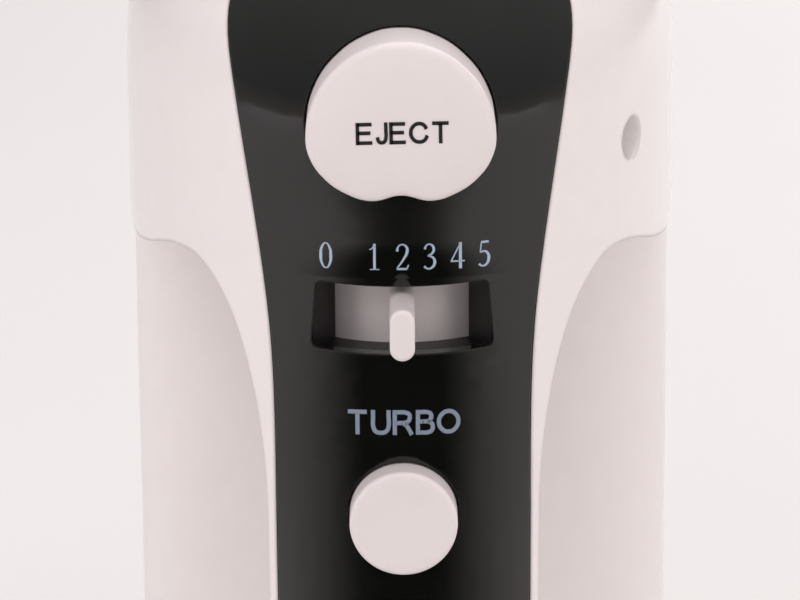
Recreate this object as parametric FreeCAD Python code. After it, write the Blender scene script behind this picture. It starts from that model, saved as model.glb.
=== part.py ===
"""Hand mixer standing on its heel, as it does between uses.

Row frame, millimetres: +Z runs from the heel to the nose, -Y is the side of the handle and
its controls, +Y is the way the beaters point, X is the width. The origin is the centre of
the heel pad's face.
"""
import FreeCAD
import Part
import math
import os

Vec = FreeCAD.Vector

# ---------------------------------------------------------------- driving dimensions
LENGTH = 206.0            # heel to nose tip
HEEL = 1.0                # the housing's heel stands this far above the pad's face
BODY_HALF = 45.0          # half the width of the motor body and the nose
CREST = -70.0             # the top of the handle over the controls
CREST_DROP_AT_HEEL = 8.0  # how far the handle's top falls away at the heel
MID_Y = 10.0              # the widest line of the nose's section
BASE_Y = 64.0             # the underside of the motor body
DECK_Y = -6.0             # the motor body's top, under the fingers
WALL = 2.4                # housing wall
PANEL_T = 2.2             # thickness of the glossy top panel
PANEL_GAP = 0.15          # gap round the panel
CROWN = 2.3               # exponent of the crowned section
BOXY = 3.4                # exponent of the squarer underside

GRIP_HALF = 20.6          # half the width of the handle
FLARE_HALF = 26.0         # and at the heel
GRIP_UNDER = -40.0        # the handle's underside
GAP_Z = (36.0, 128.0)     # the finger gap
SHOULDER_Z = 148.3        # where the nose's full width starts
SHOULDER_A = 12.4         # the concave shoulder's half axes, across and along
SHOULDER_B = 40.3
SHOULDER_DROP = (5.6, 2.2)  # how the shoulder line falls away past them, across and along
NOSE_Z = 165.0            # where the nose starts to round off

MOTOR_Y = 29.0            # the motor shaft's axis, parallel to Z at x = 0
BEATER_Z = 171.0          # the beaters' axes, parallel to Y
BEATER_X = 21.0           # half the distance between the beaters

GAP_ROUND = 4.5           # rounding of the finger gap's edges
HEEL_ROUND = 4.0

PANEL_Z = (12.0, 197.0)   # ends of the panel
PANEL_HALF = (            # (z, half width) along its sides
    (30, 19.0), (60, 19.05), (90, 19.15), (110, 19.2), (126, 19.2), (134, 19.4), (140, 19.75),
    (146, 20.35), (152, 21.1), (158, 21.95), (164, 22.85), (170, 23.75), (177, 24.8), (184, 25.5))

EJECT_Z = 171.5           # centre of the eject button's round edge
EJECT_FACE_Y = -78.0
EJECT_EDGE = (            # (x, z - EJECT_Z) round the right half of the button
    (0, 13.7), (5.2, 12.6), (9.5, 9.7), (12.6, 5.3), (13.8, 0), (13.3, -3.2), (11.2, -6.4),
    (8.0, -8.7), (4.4, -9.8), (0, -9.0))
FLANGE_Y = (-59.3, -57.9)  # the flange that keeps the eject button in
STEM_Z = 179.0            # the ejector's stem, clear of the front screw boss
PLATE_Y = (4.0, 7.0)      # the ejector plate over the drive wheels
TURBO_Z = 111.5
TURBO_R = 8.1
TURBO_FACE_Y = -74.5
TURBO_FLANGE_Y = (-63.0, -61.6)

SLOT_Z = 142.0            # the speed selector
SLOT_TOP = (12.7, 5.6, 5.0)    # the slot's upper edge: half length, end and middle heights
SLOT_LOW = (13.6, -4.7, -5.4)  # and its lower edge
FUNNEL = ((-70.0, 15.6), (-57.0, 8.8))  # (y, half length) of the bezel's tapering well
FUNNEL_HALF = 5.5
DRUM_AXIS_Y = -46.0
DRUM_R = 16.5
FIN_TIP_R = 33.5
DRUM_Z = (134.6, 149.4)

RUN = 0.06                # radial clearance of a running fit
SLIDE = 0.4               # gap round a button in the panel
CLEAR = 1.0               # and in the housing under it

SCREW_HEAD_X = 12.0       # where the housing screws' heads seat
SCREWS = ((-45, 163.8), (-46, 95), (-28, 16), (52, 22), (57.2, 147.8), (42, 196.2))  # (y, z)

REAR_PLATE = (38.0, 41.0)     # the motor's end brackets, along Z
FRONT_PLATE = (138.0, 141.0)
STACK = (72.0, 96.0)          # the stator and armature laminations
MOTOR_BOLTS = ((-26.5, 8.5), (26.5, 8.5), (-26.5, 49.5), (26.5, 49.5))   # (x, y)
FRAME_SCREWS = ((-33, 22), (33, 22), (-33, 43), (33, 43))                # (x, y)
FRAME = ((-39, 39), (17, 52), (152, 191.3))   # the gear frame's spans
SHAFT_Z = (32.0, 190.3)

TEETH = 32                # drive wheel teeth, axial module 1
STARTS = 2                # worm starts
WORM_PITCH_R = 5.0
WORM_Z = (157.0, 185.0)
WHEEL_Y = (24.5, 33.5)
HUB_R = 6.0
HUB_Y = (15.0, 66.5)

BEATER_R = 3.0            # beater shaft
BEATER_Y = (18.8, 106.0)  # its ends
LOOP_Y = (98.0, 194.0)    # the beater's loops
LOOP_HALF = 27.0
STRIP = (6.0, 1.3)        # width and thickness of the loops' steel strip


# ---------------------------------------------------------------- small helpers
def cyl(r, a, b):
    """A cylinder of radius r from point a to point b."""
    a, b = Vec(*a), Vec(*b)
    return Part.makeCylinder(r, (b - a).Length, a, b - a)


def tube(r_out, r_in, a, b):
    """A round tube between two points."""
    return cyl(r_out, a, b).cut(cyl(r_in, a, b))


def box(x, y, z):
    """A box from its three (low, high) spans."""
    return Part.makeBox(x[1] - x[0], y[1] - y[0], z[1] - z[0], Vec(x[0], y[0], z[0]))


def smooth(t):
    """0 to 1 with level ends."""
    t = min(1.0, max(0.0, t))
    return t * t * (3 - 2 * t)


def mirror_x(shape):
    return shape.mirror(Vec(0, 0, 0), Vec(1, 0, 0))


def polygon(points):
    return Part.Face(Part.makePolygon([Vec(*p) for p in points] + [Vec(*points[0])]))


def prism(face, depth):
    """A face extruded along its plane's normal, always as a positive solid."""
    solid = face.extrude(depth)
    if solid.Volume < 0:
        solid.reverse()
    return solid


def spline(points, closed=False):
    curve = Part.BSplineCurve()
    curve.interpolate([Vec(*p) for p in points], PeriodicFlag=closed)
    return curve.toShape()


def rounded(shape, radius, wanted):
    """The shape with the edges that wanted(edge) picks rounded off."""
    edges = [e for e in shape.Edges if wanted(e)]
    return shape.makeFillet(radius, edges) if edges else shape


def stadium(half_length, half_width, axis_point, direction, depth):
    """A slot with round ends, long in Z, cut along a row axis from axis_point."""
    x, y, z = axis_point
    straight = half_length - half_width
    ends = [Vec(x, y, z - straight), Vec(x, y, z + straight)]
    d = Vec(*direction)
    across = Vec(0, 0, 1).cross(d) * half_width
    a, b = ends[0] - across, ends[1] - across
    c, e = ends[1] + across, ends[0] + across
    top = Part.Arc(b, ends[1] + Vec(0, 0, half_width), c).toShape()
    low = Part.Arc(e, ends[0] - Vec(0, 0, half_width), a).toShape()
    wire = Part.Wire([Part.LineSegment(a, b).toShape(), top,
                      Part.LineSegment(c, e).toShape(), low])
    return Part.Face(wire).extrude(d * depth)


# ---------------------------------------------------------------- the outer form
def crest(z):
    """Y of the handle's and nose's highest line."""
    if z <= NOSE_Z:
        return CREST + CREST_DROP_AT_HEEL * smooth((75 - z) / 75.0)
    t = (z - NOSE_Z) / (LENGTH - NOSE_Z)
    return MID_Y - (MID_Y - CREST) * (1 - t ** 3) ** (1 / 3.0)


def upper_section(z, inset=0.0, drop=0.0):
    """(half width, height from the widest line to the crest, crest) of the upper body."""
    grow = smooth((z - 92) / (SHOULDER_Z - 92))
    half = 27.5 + (BODY_HALF - 27.5) * grow
    tall = 34.0 + (MID_Y - CREST - 34.0) * grow
    if z > NOSE_Z:
        t = (z - NOSE_Z) / (LENGTH - NOSE_Z)
        half = BODY_HALF * (1 - t ** 3) ** (1 / 3.0)
        tall = MID_Y - crest(z)
    return half - inset, tall - drop, crest(z) + drop


def arch_points(half, tall, top, power, count=9):
    """Points of a crowned arch from (-half, top + tall) over (0, top) to (half, top + tall)."""
    points = []
    for i in range(-count, count + 1):
        a = math.pi / 2 * i / count
        x = half * math.copysign(abs(math.sin(a)) ** (2 / power), a)
        y = top + tall - tall * abs(math.cos(a)) ** (2 / power)
        points.append((x, y))
    return points


def upper_wire(z, at, inset=0.0, drop=0.0, foot=MID_Y):
    """A closed section: crowned arch, two straight sides and a flat foot, placed at Z = at."""
    half, tall, top = upper_section(z, inset, drop)
    arch = [(x, y, at) for x, y in arch_points(half, tall, top, CROWN)]
    low = foot
    left, right = arch[0], arch[-1]
    corner_r, corner_l = (right[0], low, at), (left[0], low, at)
    edges = [spline(arch)]
    for a, b in ((right, corner_r), (corner_r, corner_l), (corner_l, left)):
        edges.append(Part.LineSegment(Vec(*a), Vec(*b)).toShape())
    return Part.Wire(edges)


def upper_loft(inset=0.0, drop=0.0, low=HEEL, high=SHOULDER_Z):
    """Handle and shoulders, from the heel to the shoulder line."""
    stations = [low, 20, 40, 60, 80, 92, 104, 116, 128, 140, high]
    wires = [upper_wire(z, z, inset, drop, MID_Y + 4) for z in stations]
    return Part.makeLoft(wires, True, False)


def ring_wire(half, tall, top, deep, at, low_power=BOXY):
    """A closed section: crowned arch above the widest line, squarer arch below it."""
    widest = top + tall
    over = [(x, y, at) for x, y in arch_points(half, tall, top, CROWN)]
    under = [(-x, 2 * widest - y, at) for x, y in arch_points(half, deep, widest - deep, low_power)]
    return Part.Wire([spline(over), spline(under)])


def nose_loft(inset=0.0, drop=0.0, start=SHOULDER_Z):
    """The nose, full height, from the shoulder line to its rounded tip."""
    wires = []
    stations = [start, 157, NOSE_Z, 174, 182, 189, 195, 199.5, 202.8, 204.8, LENGTH - 0.15]
    for z in stations:
        t = max(0.0, (z - NOSE_Z) / (LENGTH - NOSE_Z))
        side = (1 - t ** 3) ** (1 / 3.0)
        under = (1 - t ** 4) ** (1 / 4.0)
        half = max(BODY_HALF * side - inset, 1.0)
        top = min(crest(z) + drop, MID_Y - 1.0)
        deep = max((BASE_Y - MID_Y) * under - inset, 1.0)
        wires.append(ring_wire(half, MID_Y - top, top, deep, min(z, LENGTH - 0.15) - inset * t))
    return Part.makeLoft(wires, True, False)


def motor_loft(inset=0.0, low=HEEL, high=SHOULDER_Z):
    """The motor body, from the heel to the shoulder line."""
    wires = []
    for z in [low, 8, 18, 40, 80, 120, 140, high]:
        ease = 1 - 0.09 * (1 - smooth(z / 30.0))
        half = BODY_HALF * ease - inset
        deep = (BASE_Y - MID_Y) * ease - inset
        wires.append(ring_wire(half, MID_Y - DECK_Y - inset, DECK_Y + inset, deep, z))
    return Part.makeLoft(wires, True, False)


def shoulder_half(z):
    """Half width of the handle and its shoulders, seen from above."""
    mid = SHOULDER_Z - SHOULDER_B
    if z <= mid:
        return GRIP_HALF
    s = min(1.0, (z - mid) / SHOULDER_B)
    return GRIP_HALF + SHOULDER_A - SHOULDER_A * math.sqrt(1 - s * s)


def plan_prism():
    """The handle's outline from above, with its concave shoulders, as a tall prism."""
    mid, wide, low, rear = SHOULDER_Z - SHOULDER_B, GRIP_HALF + SHOULDER_A, HEEL - 1, HEEL + 25
    foot = MID_Y + 3
    across, along = SHOULDER_DROP

    def at(x, z):
        return Vec(x, foot, z)

    def curve(points, first, last):
        made = Part.BSplineCurve()
        made.interpolate(points, InitialTangent=first, FinalTangent=last)
        return made.toShape()

    def line(a, b):
        return Part.LineSegment(a, b).toShape()

    edges = [line(at(-FLARE_HALF, low), at(FLARE_HALF, low)),
             line(at(wide + 20, SHOULDER_Z + 10), at(-wide - 20, SHOULDER_Z + 10))]
    for side in (1, -1):
        steps = [i * math.pi / 2 / 6 for i in range(7)]
        arc = [at(side * (wide - SHOULDER_A * math.cos(s)), mid + SHOULDER_B * math.sin(s))
               for s in steps]
        grip = at(side * GRIP_HALF, rear)
        outer = at(side * (wide + 20), SHOULDER_Z - 5 * along)
        edges += [curve([at(side * FLARE_HALF, low), grip], Vec(-side * 0.5, 0, 1), Vec(0, 0, 1)),
                  line(grip, arc[0]), curve(arc, Vec(0, 0, 1), Vec(side, 0, 0)),
                  curve([arc[-1], at(side * (wide + across), SHOULDER_Z - along), outer],
                        Vec(side, 0, 0), Vec(side * 2, 0, -1)),
                  line(outer, at(side * (wide + 20), SHOULDER_Z + 10))]
    return Part.Face(Part.Wire(Part.__sortEdges__(edges))).extrude(Vec(0, -100, 0))


def finger_gap(grow=0.0):
    """The space under the handle, right through the width, with round ends."""
    y0, y1 = GRIP_UNDER - grow, DECK_Y + 3
    z0, z1 = GAP_Z[0] - grow, GAP_Z[1] + grow
    block = box((-60, 60), (y0, y1 + 40), (z0, z1))
    block = rounded(block, 14 + grow, lambda e: abs(e.CenterOfMass.y - y0) < 0.01
                    and abs(e.CenterOfMass.x) < 0.01 and e.Length > 60)
    return block


def outside():
    """The mixer's whole outside as one solid, with its edges still sharp."""
    top = upper_loft().common(plan_prism()).cut(finger_gap())
    return motor_loft().fuse([top, nose_loft()]).removeSplitter()


def soften(half):
    """Rounds the handle's underside and the heel on one half of the housing."""
    def at_grip(edge):
        c = edge.CenterOfMass
        return abs(c.y - GRIP_UNDER) < 0.1 and abs(abs(c.x) - GRIP_HALF) < 0.1 and edge.Length > 50

    def at_heel(edge):
        b = edge.BoundBox
        return b.ZMax < HEEL + 0.01 and b.YMax > 52 and b.XLength > 30

    return rounded(rounded(half, GAP_ROUND, at_grip), HEEL_ROUND, at_heel)


def cavity():
    """The space inside the housing."""
    low, high = HEEL + WALL, SHOULDER_Z + WALL
    inner = GRIP_HALF - WALL
    side = [(inner, low - 1), (inner, SHOULDER_Z - SHOULDER_B)]
    side += [(shoulder_half(z) - WALL - 0.3, z) for z in (114, 122, 130, 137, 143, 147)]
    side += [(60, high), (60, high + 9)]
    ring = [(x, MID_Y + 3, z) for x, z in side] + [(-x, MID_Y + 3, z) for x, z in side[::-1]]
    prism = polygon(ring).extrude(Vec(0, -100, 0))
    top = upper_loft(WALL, PANEL_T + WALL, low, high).common(prism).cut(finger_gap(WALL))
    return motor_loft(WALL, low, high).fuse([top, nose_loft(WALL, PANEL_T + WALL, high)])


def panel_prism(grow=0.0):
    """The top panel's outline, grown by a gap, as a prism over the handle."""
    rear, front = PANEL_HALF[0], PANEL_HALF[-1]
    steps = [i * math.pi / 12 for i in range(1, 6)]

    def end(base, half, tip, backwards):
        turn = [(half * math.cos(s) ** 0.8, base + (tip - base) * math.sin(s) ** 0.8)
                for s in steps]
        return turn[::-1] if backwards else turn

    points = [(0, PANEL_Z[0] - grow)]
    points += end(rear[0], rear[1] + grow, PANEL_Z[0] - grow, True)
    points += [(half + grow, z) for z, half in PANEL_HALF]
    points += end(front[0], front[1] + grow, PANEL_Z[1] + grow, False)
    points += [(0, PANEL_Z[1] + grow)]
    halves = []
    for side in (1, -1):
        curve = Part.BSplineCurve()
        curve.interpolate([Vec(side * x, -46, z) for x, z in points],
                          InitialTangent=Vec(side, 0, 0), FinalTangent=Vec(-side, 0, 0))
        halves.append(curve.toShape())
    return Part.Face(Part.Wire(Part.__sortEdges__(halves))).extrude(Vec(0, -60, 0))


def lowered(whole, depth):
    """The outside moved down into the handle by a depth."""
    return whole.translated(Vec(0, depth, 0))


# ---------------------------------------------------------------- controls
def eject_prism(grow, y0, y1):
    """The eject button's outline as a prism between two Y values."""
    right = [(x, z) for x, z in EJECT_EDGE]
    ring = right + [(-x, z) for x, z in right[-2:0:-1]]
    reach = [math.hypot(x, z) for x, z in ring]
    points = [(x * (1 + grow / d), y0, EJECT_Z + z * (1 + grow / d))
              for (x, z), d in zip(ring, reach)]
    face = Part.Face(Part.Wire([spline(points, True)]))
    return face.extrude(Vec(0, y1 - y0, 0))


def eject_button():
    body = eject_prism(0, EJECT_FACE_Y, FLANGE_Y[1] - 0.6)
    body = rounded(body, 1.1, lambda e: e.BoundBox.YMax < EJECT_FACE_Y + 0.01)
    flange = eject_prism(1.8, *FLANGE_Y)
    stem = cyl(4.0, (0, FLANGE_Y[1] - 0.6, STEM_Z), (0, PLATE_Y[0], STEM_Z))
    return body.fuse([flange, stem]).removeSplitter()


def ejector_plate():
    y0, y1 = PLATE_Y
    plate = box((-26, 26), (y0, y1), (166, 184))
    plate = rounded(plate, 4, lambda e: e.BoundBox.YLength > 2.9 and e.BoundBox.XLength < 0.01
                    and e.BoundBox.ZLength < 0.01)
    pins = [cyl(2.7, (s * BEATER_X, y1, BEATER_Z), (s * BEATER_X, BEATER_Y[0] - 0.3, BEATER_Z))
            for s in (-1, 1)]
    return plate.fuse(pins).removeSplitter()


def turbo_button():
    low, high = TURBO_FLANGE_Y
    face = cyl(TURBO_R, (0, TURBO_FACE_Y, TURBO_Z), (0, high - 0.3, TURBO_Z))
    face = rounded(face, 0.9, lambda e: e.BoundBox.YMax < TURBO_FACE_Y + 0.01)
    flange = cyl(9.8, (0, low, TURBO_Z), (0, high, TURBO_Z))
    stem = cyl(3, (0, high, TURBO_Z), (0, -55, TURBO_Z))
    return face.fuse([flange, stem]).removeSplitter()


def sector(r_in, r_out, half_angle, z0, z1):
    """A ring sector about the selector's axis, centred on -Y."""
    ring = cyl(r_out, (0, DRUM_AXIS_Y, z0), (0, DRUM_AXIS_Y, z1))
    if r_in:
        ring = ring.cut(cyl(r_in, (0, DRUM_AXIS_Y, z0), (0, DRUM_AXIS_Y, z1)))
    a = math.radians(half_angle)
    far = 3 * r_out
    wedge = polygon([(0, DRUM_AXIS_Y, z0), (far * math.sin(a), DRUM_AXIS_Y - far * math.cos(a), z0),
                     (-far * math.sin(a), DRUM_AXIS_Y - far * math.cos(a), z0)])
    return ring.common(wedge.extrude(Vec(0, 0, z1 - z0)))


def speed_selector():
    """Drum segment, web, hub and thumb fin; it turns about a pin along Z."""
    z0, z1 = DRUM_Z
    shell = sector(DRUM_R - 2.4, DRUM_R, 52, z0, z1)
    web = sector(0, DRUM_R - 1, 52, SLOT_Z - 1.6, SLOT_Z + 1.6)
    hub = cyl(4.5, (0, DRUM_AXIS_Y, z0), (0, DRUM_AXIS_Y, z1))
    fin = stadium(3.9, 1.85, (0, DRUM_AXIS_Y - DRUM_R + 0.5, SLOT_Z), (0, -1, 0),
                  FIN_TIP_R - DRUM_R + 0.5)
    tip = DRUM_AXIS_Y - FIN_TIP_R
    fin = rounded(fin, 0.7, lambda e: e.BoundBox.YMax < tip + 0.01)
    solid = shell.fuse([web, hub, fin]).removeSplitter()
    return solid.cut(cyl(2 + RUN, (0, DRUM_AXIS_Y, z0 - 1), (0, DRUM_AXIS_Y, z1 + 1)))


def selector_bezel(whole):
    """The black funnel between the panel's slot and the drum."""
    under = lowered(whole, PANEL_T)
    flange = box((-16.2, 16.2), (-72, -55), (134.7, 149.3)).common(under)
    flange = flange.cut(lowered(whole, PANEL_T + 1.0))
    block = box((-14.4, 14.4), (-72, -57.5), (SLOT_Z - 6.4, SLOT_Z + 6.4)).common(under)
    solid = flange.fuse(block).removeSplitter()
    funnel = []
    for y, x in FUNNEL:
        low, high = SLOT_Z - FUNNEL_HALF, SLOT_Z + FUNNEL_HALF
        ring = [(-x, y, low), (x, y, low), (x, y, high), (-x, y, high)]
        funnel.append(Part.makePolygon([Vec(*p) for p in ring + ring[:1]]))
    solid = solid.cut(Part.makeLoft(funnel, True, True))
    drum = cyl(DRUM_R + 0.35, (0, DRUM_AXIS_Y, 130), (0, DRUM_AXIS_Y, 154))
    return solid.cut(drum)


def selector_parts():
    pin = cyl(2, (0, DRUM_AXIS_Y, 131), (0, DRUM_AXIS_Y, 153))
    switch = box((-10, 10), (-37.6, -22), (137, 147))
    arch = [(-9, -37.6), (-5, -38.6), (0, -40.9), (5, -38.6), (9, -37.6)]
    low = [(x, y + 0.5) for x, y in arch[::-1]]
    edges = [spline([(x, y, 138) for x, y in arch]),
             Part.LineSegment(Vec(9, -37.6, 138), Vec(9, -37.1, 138)).toShape(),
             spline([(x, y, 138) for x, y in low]),
             Part.LineSegment(Vec(-9, -37.1, 138), Vec(-9, -37.6, 138)).toShape()]
    leaf = Part.Face(Part.Wire(edges)).extrude(Vec(0, 0, 8))
    return {"selector_pin": pin, "speed_switch": switch, "detent_spring": leaf.cut(switch)}


def coil(r, wire_r, turns, centre, y0, y1):
    """A compression spring of round wire along Y."""
    pitch = (y1 - y0 - 2 * wire_r) / turns
    # a long coil is swept turn by turn, so its faces stay short enough to mesh well
    helix = Part.makeLongHelix if turns > 7 else Part.makeHelix
    path = helix(pitch, pitch * turns, r)
    profile = Part.Wire([Part.makeCircle(wire_r, Vec(r, 0, 0), Vec(0, 1, 0))])
    solid = Part.Wire(path.Edges).makePipeShell([profile], True, True)
    solid.rotate(Vec(0, 0, 0), Vec(1, 0, 0), -90)
    solid.translate(Vec(centre[0], y0 + wire_r, centre[1]))
    return solid


# ---------------------------------------------------------------- motor
def bearing(z0, z1):
    return tube(8, 3 + RUN, (0, MOTOR_Y, z0), (0, MOTOR_Y, z1))


def end_bracket(plate, collar, sleeves):
    """A motor end plate with its bearing collar and the sleeves round the bolts."""
    z0, z1 = plate
    body = box((-40.5, 40.5), (-2, 58), plate).common(motor_loft(WALL + 0.3, 5, 150))
    body = body.fuse([cyl(10.5, (0, MOTOR_Y, collar[0]), (0, MOTOR_Y, collar[1]))]
                     + [cyl(3.2, (x, y, sleeves[0]), (x, y, sleeves[1])) for x, y in MOTOR_BOLTS])
    body = body.cut(cyl(8, (0, MOTOR_Y, z0 - 9), (0, MOTOR_Y, z1 + 9)))
    return body.cut(Part.makeCompound(
        [cyl(1.5, (x, y, z0 - 60), (x, y, z1 + 60)) for x, y in MOTOR_BOLTS]))


def stator_core():
    z0, z1 = STACK
    core = box((-30, 30), (MOTOR_Y - 25, MOTOR_Y + 25), STACK)
    window = box((-23, 23), (MOTOR_Y - 18, MOTOR_Y + 18), STACK)
    axis = ((0, MOTOR_Y, z0), (0, MOTOR_Y, z1))
    shoe = tube(18.5, 15.5, *axis)
    gap = box((-9, 9), (MOTOR_Y - 30, MOTOR_Y + 30), STACK)
    poles = [box((15.5, 24), (MOTOR_Y - 8, MOTOR_Y + 8), STACK),
             box((-24, -15.5), (MOTOR_Y - 8, MOTOR_Y + 8), STACK), shoe.cut(gap)]
    core = core.cut(window).fuse(poles).removeSplitter().cut(cyl(15.5, *axis))
    return core.cut(Part.makeCompound([cyl(1.5, (x, y, z0), (x, y, z1)) for x, y in MOTOR_BOLTS]))


def field_coil(side):
    x = sorted((side * 18.9, side * 22.8))
    outer = box(x, (MOTOR_Y - 15.5, MOTOR_Y + 15.5), (STACK[0] - 6, STACK[1] + 6))
    inner = box(x, (MOTOR_Y - 8.2, MOTOR_Y + 8.2), (STACK[0] - 0.3, STACK[1] + 0.3))
    solid = outer.cut(inner)
    return rounded(solid, 3, lambda e: e.BoundBox.XLength > 3.8
                   and abs(abs(e.CenterOfMass.y - MOTOR_Y) - 15.5) < 0.1)


def rotor_parts():
    axis = lambda z0, z1: ((0, MOTOR_Y, z0), (0, MOTOR_Y, z1))
    z0, z1 = STACK
    core = tube(15, 3, *axis(z0, z1))
    slots = [cyl(1.5, (13.2 * math.cos(a), MOTOR_Y + 13.2 * math.sin(a), z0),
                 (13.2 * math.cos(a), MOTOR_Y + 13.2 * math.sin(a), z1))
             for a in (i * math.pi / 6 for i in range(12))]
    windings = tube(13.6, 3, *axis(z0 - 7, z0)).fuse(tube(13.6, 3, *axis(z1, z1 + 7)))
    bars = tube(10, 3, *axis(48, 62))
    cuts = [box((-0.25, 0.25), (9.2, 11), (49, 62)) for _ in range(12)]
    for i, cut in enumerate(cuts):
        cut.rotate(Vec(0, 0, 0), Vec(0, 0, 1), i * 30 + 15)
        cut.translate(Vec(0, MOTOR_Y, 0))
    disc = tube(27, 3, *axis(106, 107.5)).fuse(tube(6, 3, *axis(104.5, 116)))
    blades = []
    for i in range(14):
        blade = box((5.5, 27), (-0.7, 0.7), (107.5, 116))
        blade.rotate(Vec(0, 0, 0), Vec(0, 0, 1), i * 360 / 14.0)
        blade.translate(Vec(0, MOTOR_Y, 0))
        blades.append(blade)
    fan = disc.fuse(blades).removeSplitter().cut(cyl(3, *axis(100, 120)))
    return {"motor_shaft": cyl(3, *axis(*SHAFT_Z)),
            "armature_core": core.cut(Part.makeCompound(slots)),
            "armature_windings": windings,
            "commutator": bars.cut(Part.makeCompound(cuts)),
            "cooling_fan": fan}


def brush_parts(side):
    """A carbon brush, its holder on the rear bracket, and its spring."""
    def across(a, b):
        return tuple(sorted((side * a, side * b)))
    name = "right" if side > 0 else "left"
    brush = box(across(10.25, 20), (MOTOR_Y - 3, MOTOR_Y + 3), (51.5, 58.5))
    sleeve = box(across(13, 34), (MOTOR_Y - 4.5, MOTOR_Y + 4.5), (50, 60))
    sleeve = sleeve.cut(box(across(12, 32.5), (MOTOR_Y - 3, MOTOR_Y + 3), (51.5, 58.5)))
    foot = box(across(24, 34), (MOTOR_Y - 4.5, MOTOR_Y + 4.5), (REAR_PLATE[1], 50))
    spring = coil(2.2, 0.3, 7, (0, 0), 0, 12.5)
    spring.rotate(Vec(0, 0, 0), Vec(0, 0, 1), -90 * side)
    spring.translate(Vec(side * 20, MOTOR_Y, 55))
    return {"brush_" + name: brush, "brush_holder_" + name: sleeve.fuse(foot).removeSplitter(),
            "brush_spring_" + name: spring}


def motor_bolts():
    bolts = []
    for x, y in MOTOR_BOLTS:
        shank = cyl(1.5, (x, y, REAR_PLATE[0]), (x, y, FRONT_PLATE[1] + 2.2))
        head = cyl(2.7, (x, y, REAR_PLATE[0] - 2.2), (x, y, REAR_PLATE[0]))
        nut = cyl(2.7, (x, y, FRONT_PLATE[1]), (x, y, FRONT_PLATE[1] + 2.0))
        bolts.append(shank.fuse([head, nut]).removeSplitter())
    return Part.makeCompound(bolts)


# ---------------------------------------------------------------- gears
def worm():
    """The two-start right-hand worm, a thread rising WORM_PITCH_R * 0.2 mm a radian."""
    z0, z1 = WORM_Z
    lead = STARTS * math.pi
    root, crest_r = 3.8, WORM_PITCH_R + 0.9
    body = cyl(root, (0, 0, z0), (0, 0, z1))
    start = z0 + 1.8
    turns = (z1 - z0 - 3.6) / lead
    path = Part.Wire(Part.makeHelix(lead, lead * turns, WORM_PITCH_R).Edges)
    profile = polygon([(root - 0.4, 0, -1.0), (crest_r, 0, -0.38), (crest_r, 0, 0.38),
                       (root - 0.4, 0, 1.0)]).OuterWire
    thread = path.makePipeShell([profile], True, True)
    threads = []
    for i in range(STARTS):
        one = thread.copy()
        one.translate(Vec(0, 0, start))
        phase = (start - BEATER_Z) % lead / lead * 360
        one.rotate(Vec(0, 0, 0), Vec(0, 0, 1), phase + i * 360.0 / STARTS)
        threads.append(one)
    solid = body.fuse(threads).removeSplitter()
    solid.translate(Vec(0, MOTOR_Y, 0))
    return solid.cut(cyl(3, (0, MOTOR_Y, z0 - 1), (0, MOTOR_Y, z1 + 1)))


def wheel_wire(height, turn):
    """The toothed outline in the XY plane, with gaps facing along X."""
    points = []
    step = 2 * math.pi / TEETH
    for i in range(TEETH):
        middle = (i + 0.5) * step + turn
        for r, half in ((14.8, -0.062), (16.85, -0.020), (16.85, 0.020), (14.8, 0.062)):
            a = middle + half
            points.append(Vec(r * math.cos(a), r * math.sin(a), height))
    return Part.makePolygon(points + [points[0]])


def drive_wheel(side):
    """A helical wheel with its hub; the beater's shaft slides in its bore."""
    y0, y1 = WHEEL_Y
    wires = [wheel_wire(y, (y - MOTOR_Y) / 80.0) for y in (y0, (y0 + y1) / 2, y1)]
    rim = Part.makeLoft(wires, True, True)
    rim.rotate(Vec(0, 0, 0), Vec(1, 0, 0), -90)
    rim.translate(Vec(side * BEATER_X, 0, BEATER_Z))

    def post(r, a, b):
        return cyl(r, (side * BEATER_X, a, BEATER_Z), (side * BEATER_X, b, BEATER_Z))

    solid = rim.fuse([post(HUB_R, *HUB_Y), post(7.5, FRAME[1][0] + 3.2, y0 + 1),
                      post(7.5, y1 - 1, FRAME[1][1] - 4.2)]).removeSplitter()
    return solid.cut(post(BEATER_R + RUN, HUB_Y[0] - 1, HUB_Y[1] + 1))


def gear_frame():
    """The frame that carries the wheels and the shaft's far end."""
    xs, ys, zs = FRAME
    solid = box(xs, ys, zs).cut(box((-60, 60), (ys[0] + 3, ys[1] - 4), (zs[0] + 1.8, zs[1] - 2.7)))
    solid = solid.common(nose_loft(WALL + 0.3, PANEL_T + WALL, SHOULDER_Z + WALL))
    posts = [cyl(4, (x, y, FRONT_PLATE[1]), (x, y, zs[0])) for x, y in FRAME_SCREWS]
    solid = solid.fuse(posts).removeSplitter()
    holes = [cyl(9, (0, MOTOR_Y, zs[0] - 1), (0, MOTOR_Y, zs[0] + 4)),
             cyl(5, (0, MOTOR_Y, zs[1] - 4), (0, MOTOR_Y, zs[1] + 1))]
    holes += [cyl(1.5, (x, y, 140), (x, y, 156)) for x, y in FRAME_SCREWS]
    holes += [cyl(HUB_R + RUN, (s * BEATER_X, 10, BEATER_Z), (s * BEATER_X, 60, BEATER_Z))
              for s in (-1, 1)]
    return solid.cut(Part.makeCompound(holes))


def frame_screws():
    return Part.makeCompound([
        cyl(1.5, (x, y, FRONT_PLATE[0]), (x, y, FRAME[2][0])).fuse(
            cyl(2.7, (x, y, FRONT_PLATE[0] - 2.2), (x, y, FRONT_PLATE[0]))).removeSplitter()
        for x, y in FRAME_SCREWS])


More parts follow.
